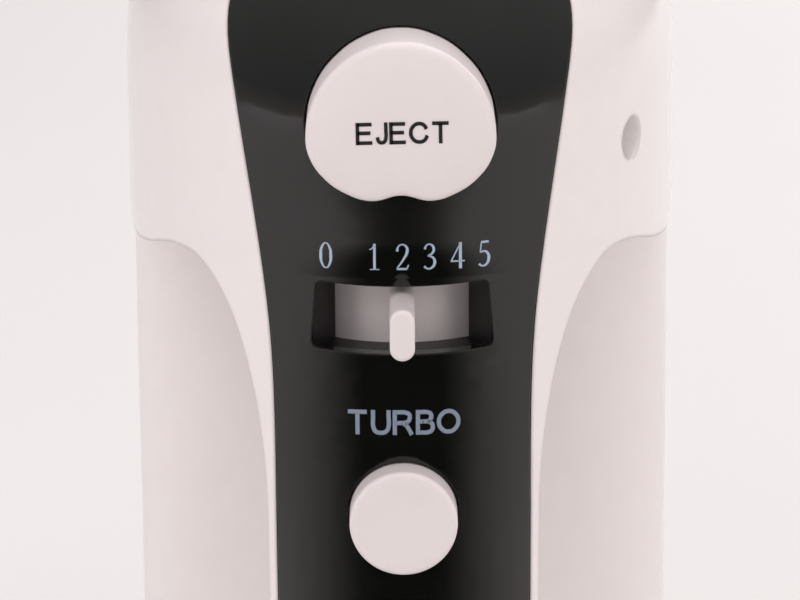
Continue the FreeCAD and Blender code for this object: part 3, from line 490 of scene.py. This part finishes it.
@dataclass
class Shell(Assembly):
    """The clamshell housing, its top panel and the parts on its underside."""

    finishes: dict[str, Finish] = field(default_factory=lambda: {
        "housing_right": GLOSS_WHITE_ABS, "housing_left": GLOSS_WHITE_ABS,
        "top_panel": GLOSS_BLACK_ABS, "socket_pad": GLOSS_WHITE_ABS, "heel_pad": SOFT_PVC,
        "cable_gland": SOFT_PVC, "housing_screws": ZINC_STEEL,
        "selector_bezel": SPARK_BLACK_ABS, "speed_selector": SATIN_WHITE_ABS})


@dataclass
class Motor(Assembly):
    """The series motor with its brushes and fan."""

    finishes: dict[str, Finish] = field(default_factory=lambda: {
        "motor_rear_bracket": DIE_CAST, "motor_front_bracket": DIE_CAST,
        "stator_core": LAMINATED_STEEL, "armature_core": LAMINATED_STEEL,
        "field_coil_left": WOUND_COPPER, "field_coil_right": WOUND_COPPER,
        "armature_windings": WOUND_COPPER, "commutator": TURNED_COPPER,
        "cooling_fan": NATURAL_ACETAL, "motor_shaft": GROUND_STEEL, "motor_bolts": ZINC_STEEL,
        "brush_left": PRESSED_CARBON, "brush_right": PRESSED_CARBON,
        "brush_holder_left": SPARK_BLACK_ABS, "brush_holder_right": SPARK_BLACK_ABS,
        "brush_spring_left": SPRING_WIRE, "brush_spring_right": SPRING_WIRE,
        "rear_bearing": SINTERED_BRONZE, "front_bearing": SINTERED_BRONZE,
        "thrust_bearing": SINTERED_BRONZE})


@dataclass
class GearTrain(Assembly):
    """The worm, its two wheels and the frame that carries them."""

    finishes: dict[str, Finish] = field(default_factory=lambda: {
        "gear_frame": DIE_CAST, "gear_frame_screws": ZINC_STEEL, "worm": HOBBED_STEEL,
        "drive_wheel_left": NATURAL_ACETAL, "drive_wheel_right": NATURAL_ACETAL,
        "retaining_clip_left": SPRING_WIRE, "retaining_clip_right": SPRING_WIRE,
        "ejector_plate": NATURAL_ACETAL, "eject_spring": SPRING_WIRE,
        "turbo_spring": SPRING_WIRE})


@dataclass
class SpeedControl(Assembly):
    """The electronics and switches in the handle."""

    finishes: dict[str, Finish] = field(default_factory=lambda: {
        "control_board": SOLDER_RESIST, "choke": WOUND_COPPER, "triac": FILLED_PHENOLIC,
        "film_capacitor": FILM_CAPACITOR, "turbo_switch": FILLED_PHENOLIC,
        "speed_switch": FILLED_PHENOLIC, "detent_spring": SPRING_WIRE,
        "selector_pin": GROUND_STEEL})


@dataclass
class Beaters(Assembly):
    """The two chrome-plated beaters."""

    finishes: dict[str, Finish] = field(default_factory=lambda: {
        f"beater_{part}_{side}": CHROME_ROD if part in ("shaft", "collar") else CHROME_PLATE
        for side in ("left", "right") for part in ("shaft", "collar", "loop_a", "loop_b")})


@dataclass
class EjectButton(Assembly):
    """The large button that pushes the beaters out, with its guide stem."""

    centre: Vector = field(default_factory=lambda: Vector((0, 0, 171.5)) * MM)
    outline: tuple[tuple[float, float], ...] = (
        (0, 13.7), (5.2, 12.6), (9.5, 9.7), (12.6, 5.3), (13.8, 0), (13.3, -3.2), (11.2, -6.4),
        (8.0, -8.7), (4.4, -9.8), (0, -9.0))
    face_y: float = field(default_factory=lambda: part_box("eject_button")[0].y)
    foot_y: float = -57.9 * MM
    flange: float = 1.8 * MM
    flange_top: float = -59.3 * MM
    rim: float = 1.3 * MM
    crown: float = 0.35 * MM
    stem_z: float = 179 * MM
    stem_radius: float = 4.0 * MM

    def build(self) -> list[str]:
        """Builds the cap with its flange, and the stem under it.

        Returns:
            The pieces' names.
        """
        clear_selection()
        ring = list(self.outline) + [(-x, z) for x, z in self.outline[-2:0:-1]]
        bpy.ops.curve.primitive_bezier_circle_add(radius=1.0)
        curve = bpy.context.object
        spline = curve.data.splines[0]
        spline.bezier_points.add(len(ring) - len(spline.bezier_points))
        for point, (x, z) in zip(spline.bezier_points, ring):
            point.co = self.centre + Vector((x * MM, self.foot_y, z * MM))
            point.handle_left_type = point.handle_right_type = "AUTO"
        curve.data.dimensions = "3D"
        curve.data.resolution_u = 8
        bpy.ops.object.convert(target="MESH")
        cap = Workpiece("eject_cap")
        cap.edit()
        bpy.ops.mesh.select_all(action="SELECT")
        bpy.ops.mesh.remove_doubles(threshold=1e-6)
        bpy.ops.mesh.edge_face_add()
        bpy.ops.mesh.select_mode(type="FACE")
        levels = self.foot_y, self.flange_top, self.face_y + self.rim
        for low, high in zip(levels, levels[1:]):
            bpy.ops.mesh.extrude_region_move(
                TRANSFORM_OT_translate={"value": (0, high - low, 0)})
        for inset, rise in rolled(self.rim):
            self.ring(inset, rise)
        for share in (0.42, 0.28, 0.18, 0.12):
            self.ring(0.8 * MM, self.crown * share)
        bpy.ops.mesh.select_mode(type="FACE")
        cap.edit()
        bpy.ops.mesh.select_all(action="SELECT")
        bpy.ops.mesh.normals_make_consistent(inside=False)
        middle = (self.foot_y + self.flange_top) / 2
        cap.faces(lambda c, n: abs(c.y - middle) < 0.1 * MM and abs(n.y) < 0.1)
        bpy.ops.mesh.extrude_region_shrink_fatten(
            TRANSFORM_OT_shrink_fatten={"value": self.flange, "use_even_offset": True})
        cap.finish("ejector", "button_white", SATIN_WHITE_ABS, "eject_button", 30)
        return ["eject_cap", self.stem()]

    def ring(self, inset: float, rise: float) -> None:
        """Insets the selected top face and raises it.

        Args:
            inset: how far in.
            rise: how far towards the hand.
        """
        bpy.ops.mesh.inset(thickness=inset, depth=0.0, use_even_offset=True)
        bpy.ops.transform.translate(value=(0, -rise, 0))

    def stem(self) -> str:
        """Builds the guide stem that runs down to the ejector plate.

        Returns:
            The piece's name.
        """
        clear_selection()
        top, low = self.foot_y - 0.2 * MM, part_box("eject_button")[1].y
        bpy.ops.mesh.primitive_cylinder_add(
            vertices=48, radius=self.stem_radius, depth=low - top,
            rotation=(math.pi / 2, 0, 0), location=(0, (top + low) / 2, self.stem_z))
        bpy.ops.object.transform_apply(location=True, rotation=True, scale=True)
        stem = Workpiece("eject_stem")
        stem.edit()
        near = 0.01 * MM
        stem.edges(lambda *ends: all(
            end.y > low - near
            and abs(math.hypot(end.x, end.z - self.stem_z) - self.stem_radius) < near
            for end in ends))
        bpy.ops.mesh.bevel(offset=0.35 * MM, segments=3, affect="EDGES")
        stem.finish("ejector", "button_white", SATIN_WHITE_ABS)
        return "eject_stem"


@dataclass
class TurboButton(Assembly):
    """The round push button under the thumb."""

    centre_z: float = 111.5 * MM
    radius: float = 8.1 * MM
    face_y: float = field(default_factory=lambda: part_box("turbo_button")[0].y)
    foot_y: float = -61.6 * MM
    flange_top: float = -63.0 * MM
    flange: float = 1.7 * MM
    rim: float = 0.8 * MM
    dish: float = 0.25 * MM
    dish_step: float = 1.1 * MM
    stem_radius: float = 3.0 * MM
    stem_length: float = 6.6 * MM

    def build(self) -> list[str]:
        """Builds the button with its rolled rim, flange and stem.

        Returns:
            The piece's name.
        """
        clear_selection()
        body = self.foot_y - (self.face_y + self.rim)
        bpy.ops.mesh.primitive_cylinder_add(
            vertices=96, radius=self.radius, depth=body, rotation=(math.pi / 2, 0, 0),
            location=(0, self.foot_y - body / 2, self.centre_z))
        bpy.ops.object.transform_apply(location=True, rotation=True, scale=True)
        cap = Workpiece("turbo_cap")
        cap.edit()
        cap.cut(Vector((0, self.flange_top, 0)), Vector((0, 1, 0)))
        cap.faces(lambda c, n: n.y < -0.9)
        for inset, rise in rolled(self.rim):
            bpy.ops.mesh.inset(thickness=inset, depth=0.0)
            bpy.ops.transform.translate(value=(0, -rise, 0))
        for share in (0.1, 0.25, 0.3, 0.2, 0.15):
            bpy.ops.mesh.inset(thickness=self.dish_step, depth=0.0)
            bpy.ops.transform.translate(value=(0, self.dish * share, 0))
        cap.faces(lambda c, n: n.y > 0.9)
        bpy.ops.mesh.inset(thickness=self.radius - self.stem_radius, depth=0.0)
        bpy.ops.mesh.extrude_region_move(
            TRANSFORM_OT_translate={"value": (0, self.stem_length, 0)})
        middle = (self.foot_y + self.flange_top) / 2
        cap.faces(lambda c, n: abs(c.y - middle) < 0.1 * MM and abs(n.y) < 0.1)
        bpy.ops.mesh.extrude_region_shrink_fatten(
            TRANSFORM_OT_shrink_fatten={"value": self.flange, "use_even_offset": True})
        cap.finish("turbo", "button_white", SATIN_WHITE_ABS, "turbo_button", 30)
        return ["turbo_cap"]


@dataclass(frozen=True)
class Stroke:
    """One stroke of a pen: points of x, y and pen width, on a character one unit tall.

    A y of LOW or TOP is the character's very edge, where an upright stroke is cut off.
    """

    points: tuple[tuple[float, float, float], ...]
    curved: bool = True
    closed: bool = False


LOW, TOP = -9.0, 9.0


def line(*points: tuple[float, ...]) -> Stroke:
    """A straight or bent stroke with a full pen where no width is given."""
    return Stroke(tuple((p[0], p[1], p[2] if len(p) > 2 else 1.0) for p in points), False)


def bow(*points: tuple[float, ...], closed: bool = False) -> Stroke:
    """A curved stroke with a full pen where no width is given."""
    return Stroke(tuple((p[0], p[1], p[2] if len(p) > 2 else 1.0) for p in points), True, closed)


# Plain characters: capitals of even stroke, and narrow figures with thick and thin strokes.
CHARACTERS: dict[str, tuple[Stroke, ...]] = {
    "E": (line((0, LOW), (0, TOP)), line((0, 1), (0.66, 1)), line((0, 0.53), (0.6, 0.53)),
          line((0, 0), (0.68, 0))),
    "J": (bow((0.4, TOP), (0.4, 0.7), (0.4, 0.3), (0.34, 0.07), (0.2, 0), (0.06, 0.07),
              (0, 0.3)),),
    "C": (bow((0.73, 0.7), (0.62, 0.9), (0.4, 1), (0.14, 0.88), (0, 0.5), (0.14, 0.12), (0.4, 0),
              (0.64, 0.1), (0.76, 0.35)),),
    "T": (line((0, 1), (0.76, 1)), line((0.38, LOW), (0.38, 1))),
    "U": (bow((0, TOP), (0, 0.75), (0, 0.34), (0.09, 0.08), (0.31, 0), (0.53, 0.08), (0.62, 0.34),
              (0.62, 0.75), (0.62, TOP)),),
    "R": (line((0, LOW), (0, TOP)), bow((0, 1), (0.2, 1), (0.4, 0.99), (0.57, 0.9), (0.6, 0.74),
                                        (0.55, 0.58), (0.4, 0.49), (0.2, 0.48), (0, 0.48)),
          bow((0.3, 0.48), (0.44, 0.38), (0.56, 0.18), (0.68, LOW))),
    "B": (line((0, LOW), (0, TOP)), bow((0, 1), (0.18, 1), (0.36, 0.99), (0.5, 0.91),
                                        (0.53, 0.77), (0.49, 0.63), (0.36, 0.55), (0.18, 0.54),
                                        (0, 0.54)),
          bow((0.18, 0.54), (0.4, 0.53), (0.55, 0.44), (0.59, 0.27), (0.55, 0.1), (0.4, 0.01),
              (0.18, 0), (0, 0))),
    "O": (bow((0, 0.5), (0.13, 0.87), (0.39, 1), (0.65, 0.87), (0.78, 0.5), (0.65, 0.13),
              (0.39, 0), (0.13, 0.13), closed=True),),
    "0": (bow((0, 0.5, 1.5), (0.05, 0.84, 1.1), (0.2, 1, 0.6), (0.35, 0.84, 1.1), (0.4, 0.5, 1.5),
              (0.35, 0.16, 1.1), (0.2, 0, 0.6), (0.05, 0.16, 1.1), closed=True),),
    "1": (line((0.22, 0, 1.5), (0.22, TOP, 1.5)), bow((0.03, 0.8, 0.6), (0.12, 0.84, 0.7),
                                                      (0.2, 0.95, 0.9)),
          line((0.04, 0, 0.6), (0.4, 0, 0.6))),
    "2": (bow((0.02, 0.72, 1.4), (0.07, 0.92, 0.8), (0.2, 1, 0.8), (0.34, 0.9, 1.2),
              (0.36, 0.7, 1.5), (0.25, 0.42, 1.1), (0.02, 0.03, 0.7)),
          line((0.01, 0, 1.2), (0.36, 0, 1.2)), line((0.35, 0, 0.8), (0.41, 0.17, 0.6))),
    "3": (bow((0.02, 0.8, 1.2), (0.09, 0.96, 0.8), (0.2, 1, 0.8), (0.33, 0.89, 1.3),
              (0.31, 0.66, 1.2), (0.13, 0.53, 0.7)),
          bow((0.13, 0.53, 0.7), (0.3, 0.47, 1.1), (0.38, 0.26, 1.5), (0.28, 0.05, 1.1),
              (0.13, 0, 0.8), (0.0, 0.1, 1.2))),
    "4": (line((0.31, LOW, 1.4), (0.31, TOP, 1.4)), line((0.3, 0.98, 0.6), (0.0, 0.3, 0.7)),
          line((-0.03, 0.27, 0.8), (0.46, 0.27, 0.8))),
    "5": (line((0.08, 0.97, 1.2), (0.38, 0.98, 1.2)), line((0.09, 0.97, 0.7), (0.05, 0.55, 0.7)),
          bow((0.05, 0.55, 0.7), (0.2, 0.6, 0.9), (0.34, 0.5, 1.3), (0.38, 0.28, 1.5),
              (0.28, 0.05, 1.1), (0.12, 0, 0.8), (0, 0.09, 1.2))),
}


@dataclass(frozen=True)
class Word:
    """One printed word or figure.

    Its centre is in the width and up the handle, and with its size it is in millimetres. The
    pen is the stroke's width as a share of the height.
    """

    name: str
    text: str
    centre: tuple[float, float]
    width: float
    height: float
    pen: float
    ink: Finish
    on: str = "top_panel"
    body: str = "housing"
    turn: float = 0.0


@dataclass
class Printing(Assembly):
    """The pad-printed scale and function words.

    The facet is how finely a word bends round the panel, in millimetres, and the gap between
    characters is a share of their height.
    """

    film: float = 0.06 * MM
    facet: float = 0.7
    start_y: float = -90 * MM
    gap: float = 0.07
    words: tuple[Word, ...] = (
        Word("scale_0", "0", (-11.2, 151.6), 1.95, 4.0, 0.085, PALE_INK),
        Word("scale_1", "1", (-4.05, 151.6), 1.5, 4.0, 0.068, PALE_INK),
        Word("scale_2", "2", (0.1, 151.6), 2.0, 4.0, 0.07, PALE_INK),
        Word("scale_3", "3", (4.15, 151.6), 1.9, 4.0, 0.076, PALE_INK),
        Word("scale_4", "4", (8.25, 151.6), 2.1, 4.0, 0.078, PALE_INK),
        Word("scale_5", "5", (12.2, 151.6), 1.8, 4.0, 0.08, PALE_INK),
        Word("turbo_word", "TURBO", (0.2, 126.0), 16.8, 4.05, 0.175, GREY_INK),
        Word("eject_word", "EJECT", (0.2, 172.1), 13.4, 3.25, 0.165, BLACK_INK, "eject_cap",
             "ejector", 0.8))

    def build(self) -> list[str]:
        """Prints every word."""
        return [self.print_word(word) for word in self.words]

    def pen(self) -> Object:
        """Makes the flat pen that draws the strokes, one unit wide.

        Returns:
            The pen.
        """
        curve = bpy.data.curves.new("pen", "CURVE")
        nib = curve.splines.new("POLY")
        nib.points.add(1)
        nib.points[0].co, nib.points[1].co = (-0.5, 0, 0, 1), (0.5, 0, 0, 1)
        pen = bpy.data.objects.new("pen", curve)
        bpy.context.scene.collection.objects.link(pen)
        return pen

    def draw(self, word: Word, pen: Object) -> Workpiece:
        """Draws a word's strokes in the XY plane.

        Args:
            word: the word.
            pen: the pen.

        Returns:
            The drawn word as a mesh, one unit tall.
        """
        data = bpy.data.curves.new(word.name, "CURVE")
        data.dimensions, data.fill_mode, data.resolution_u = "2D", "NONE", 6
        data.bevel_mode, data.bevel_object = "OBJECT", pen
        start = 0.0
        for character in word.text:
            strokes = CHARACTERS[character]
            for stroke in strokes:
                spline = data.splines.new("BEZIER")
                spline.bezier_points.add(len(stroke.points) - 1)
                spline.use_cyclic_u = stroke.closed
                for point, (x, y, share) in zip(spline.bezier_points, stroke.points):
                    level = 0.0 if y == LOW else 1.0 if y == TOP else (
                        word.pen / 2 + y * (1 - word.pen))
                    point.co = (start + word.pen / 2 + x, level, 0)
                    point.radius = share * word.pen
                    kind = "AUTO" if stroke.curved else "VECTOR"
                    point.handle_left_type = point.handle_right_type = kind
            start += max(p[0] for s in strokes for p in s.points) + word.pen + self.gap
        drawn = bpy.data.objects.new(word.name, data)
        bpy.context.scene.collection.objects.link(drawn)
        clear_selection()
        drawn.select_set(True)
        bpy.context.view_layer.objects.active = drawn
        bpy.ops.object.convert(target="MESH")
        return Workpiece(word.name)

    def print_word(self, word: Word) -> str:
        """Lays one word on its surface as a thin film of ink.

        Args:
            word: the word.

        Returns:
            The piece's name.
        """
        pen = self.pen()
        film = self.draw(word, pen)
        bpy.data.objects.remove(pen)
        corners = [v.co for v in film.obj.data.vertices]
        low = Vector([min(c[i] for c in corners) for i in range(3)])
        high = Vector([max(c[i] for c in corners) for i in range(3)])
        x, z = word.centre
        film.obj.data.transform(
            Matrix.Translation((x * MM, self.start_y, z * MM))
            @ Matrix.Rotation(math.radians(-word.turn), 4, "Y")
            @ Matrix.Rotation(math.pi / 2, 4, "X")
            @ Matrix.Diagonal((word.width * MM / (high.x - low.x),
                               word.height * MM / (high.y - low.y), 1, 1))
            @ Matrix.Translation(-(low + high) / 2))
        film.edit()
        for step in range(-int(word.width), int(word.width) + 1):
            film.cut(Vector(((x + step * self.facet) * MM, 0, 0)), Vector((1, 0, 0)))
        film.modify("SHRINKWRAP", target=bpy.data.objects[word.on], wrap_method="PROJECT",
                    use_project_y=True, use_positive_direction=True,
                    use_negative_direction=False, wrap_mode="ABOVE_SURFACE", offset=self.film)
        film.modify("SOLIDIFY", thickness=self.film * 0.8, offset=0.0)
        film.finish(word.body, "panel_black" if word.on == "top_panel" else "button_white",
                    word.ink)
        return word.name


@dataclass
class Studio:
    """A plain pale floor, soft lights and the camera."""

    look_at: Vector = field(default_factory=lambda: Vector((-0.3, -70, 145)) * MM)
    distance: float = 550 * MM
    elevation: float = 15.0
    lens: float = 167.3
    roll: float = 0.43

    def build(self) -> list[str]:
        """Sets up the floor, the lights, the sky and the camera.

        Returns:
            Their names.
        """
        self.floor()
        self.flag()
        self.light("key", (-0.5, -1.2, 1.6), (2.2, 1.4), 10.0, (1.0, 0.975, 0.98), False)
        self.light("left_fill", (-1.3, -0.8, 0.5), (1.2, 1.2), 8.0, (1.0, 0.985, 1.0), False)
        self.light("right_fill", (1.3, -0.9, 0.6), (1.2, 1.2), 8.0, (1.0, 0.98, 0.975), False)
        self.light("top", (0.3, 0.2, 1.6), (1.4, 1.4), 8.0, (1.0, 0.985, 0.98))
        self.light("back", (0.7, 1.5, 0.9), (1.6, 1.0), 10.0, (1.0, 0.985, 0.98))
        self.sky()
        self.camera()
        return ["floor", "flag", "key", "left_fill", "right_fill", "top", "back", "sky", "camera"]

    def floor(self) -> None:
        """Lays a large pale floor with a soft, faintly uneven paper surface."""
        clear_selection()
        bpy.ops.mesh.primitive_circle_add(vertices=64, radius=12.0, fill_type="NGON")
        floor = Workpiece("floor")
        # Matt seamless paper: an even pale tone with a faint tooth.
        paper = Finish("seamless_paper", "#E4E1E0", "#DFDCDB", Grain.SPARK, 2.0, 0.02, 0.85, 0.05,
                       0.4, 300.0)
        dress(floor.obj, paper)

    def flag(self) -> None:
        """Lays a black card before the mixer that only the gloss reflects, for a deep black."""
        clear_selection()
        bpy.ops.mesh.primitive_plane_add(size=1.0, location=(0, -0.75, 2 * MM))
        card = Workpiece("flag")
        card.obj.scale = (1.1, 1.4, 1.0)
        bpy.ops.object.transform_apply(location=True, rotation=True, scale=True)
        made = bpy.data.materials.new("black_card")
        made.use_nodes = True
        tree = made.node_tree
        tree.nodes.clear()
        where = add_node(tree, "ShaderNodeTexCoord")
        place = add_node(tree, "ShaderNodeMapping", None,
                         {"Location": (0, 0.7, 0), "Scale": (2.2, 1.35, 1)},
                         {"Vector": where.outputs["Object"]})
        reach = add_node(tree, "ShaderNodeVectorMath", {"operation": "LENGTH"}, None,
                         {0: place.outputs["Vector"]})
        fade = add_node(tree, "ShaderNodeMapRange", {"interpolation_type": "SMOOTHSTEP"},
                        {"From Min": 0.25, "From Max": 0.9, "To Min": 0.0, "To Max": 1.0},
                        {"Value": reach.outputs["Value"]})
        clear = add_node(tree, "ShaderNodeBsdfTransparent")
        black = add_node(tree, "ShaderNodeBsdfDiffuse", None, {"Color": linear("#060606")})
        both = add_node(tree, "ShaderNodeMixShader", None, None,
                        {0: fade.outputs["Result"], 1: black.outputs["BSDF"],
                         2: clear.outputs["BSDF"]})
        add_node(tree, "ShaderNodeOutputMaterial", None, None,
                 {"Surface": both.outputs["Shader"]})
        card.obj.data.materials.append(made)
        card.obj.visible_camera = card.obj.visible_diffuse = card.obj.visible_shadow = False
        card.obj.visible_transmission = False

    def light(self, name: str, at: tuple[float, float, float], size: tuple[float, float],
              power: float, tint: tuple[float, float, float], mirrored: bool = True) -> None:
        """Hangs a soft box that points at the object.

        Args:
            name: the light's name.
            at: where it hangs.
            size: its width and height.
            power: in watts.
            tint: its linear colour.
            mirrored: whether glossy surfaces show it.
        """
        data: Light = bpy.data.lights.new(name, "AREA")
        data.shape = "RECTANGLE"
        data.size, data.size_y = size
        data.energy = power
        data.color = tint
        lamp = bpy.data.objects.new(name, data)
        bpy.context.scene.collection.objects.link(lamp)
        lamp.location = at
        lamp.visible_glossy = mirrored
        towards = Vector((0, 0, 0.11)) - lamp.location
        lamp.rotation_euler = towards.to_track_quat("-Z", "Y").to_euler()

    def sky(self) -> None:
        """Fills the room with soft pale light, brighter above than at the horizon."""
        world = bpy.data.worlds.new("room")
        bpy.context.scene.world = world
        world.use_nodes = True
        tree = world.node_tree
        tree.nodes.clear()
        where = add_node(tree, "ShaderNodeTexCoord")
        parts = add_node(tree, "ShaderNodeSeparateXYZ", None, None,
                         {"Vector": where.outputs["Generated"]})
        level = add_node(tree, "ShaderNodeMapRange", None,
                         {"From Min": -0.2, "From Max": 0.8, "To Min": 0.0, "To Max": 1.0},
                         {"Value": parts.outputs["Z"]})
        tone = add_node(tree, "ShaderNodeMix", {"data_type": "RGBA"},
                        {6: linear("#B9B6BA"), 7: linear("#F4F1F1")},
                        {0: level.outputs["Result"]})
        side = add_node(tree, "ShaderNodeMapRange", {"interpolation_type": "SMOOTHSTEP"},
                        {"From Min": -0.8, "From Max": 0.8, "To Min": 0.56, "To Max": 0.66},
                        {"Value": parts.outputs["X"]})
        glow = add_node(tree, "ShaderNodeBackground", None, None,
                        {"Color": tone.outputs[2], "Strength": side.outputs["Result"]})
        add_node(tree, "ShaderNodeOutputWorld", None, None,
                 {"Surface": glow.outputs["Background"]})

    def camera(self) -> None:
        """Places the camera over the controls, a little above the level."""
        data = bpy.data.cameras.new("camera")
        data.lens = self.lens
        data.sensor_width = 36.0
        camera = bpy.data.objects.new("camera", data)
        bpy.context.scene.collection.objects.link(camera)
        tilt = math.radians(self.elevation)
        back = Vector((0, -math.cos(tilt), math.sin(tilt)))
        camera.location = self.look_at + back * self.distance
        turn = (-back).to_track_quat("-Z", "Y").to_matrix().to_4x4()
        roll = Matrix.Rotation(math.radians(-self.roll), 4, "Z")
        camera.rotation_euler = (turn @ roll).to_euler()
        bpy.context.scene.camera = camera
        bpy.context.scene.view_settings.view_transform = "Standard"


def main() -> None:
    """Builds every assembly in order."""
    logging.basicConfig(level=logging.INFO, format="%(name)s: %(message)s")
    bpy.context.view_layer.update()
    for assembly in (Shell(), Motor(), GearTrain(), SpeedControl(), Beaters(), EjectButton(),
                     TurboButton(), Printing(), Studio()):
        for piece in assembly.build():
            log.info("%s: %s", type(assembly).__name__, piece)
    clear_selection()


if __name__ == "__main__":
    main()
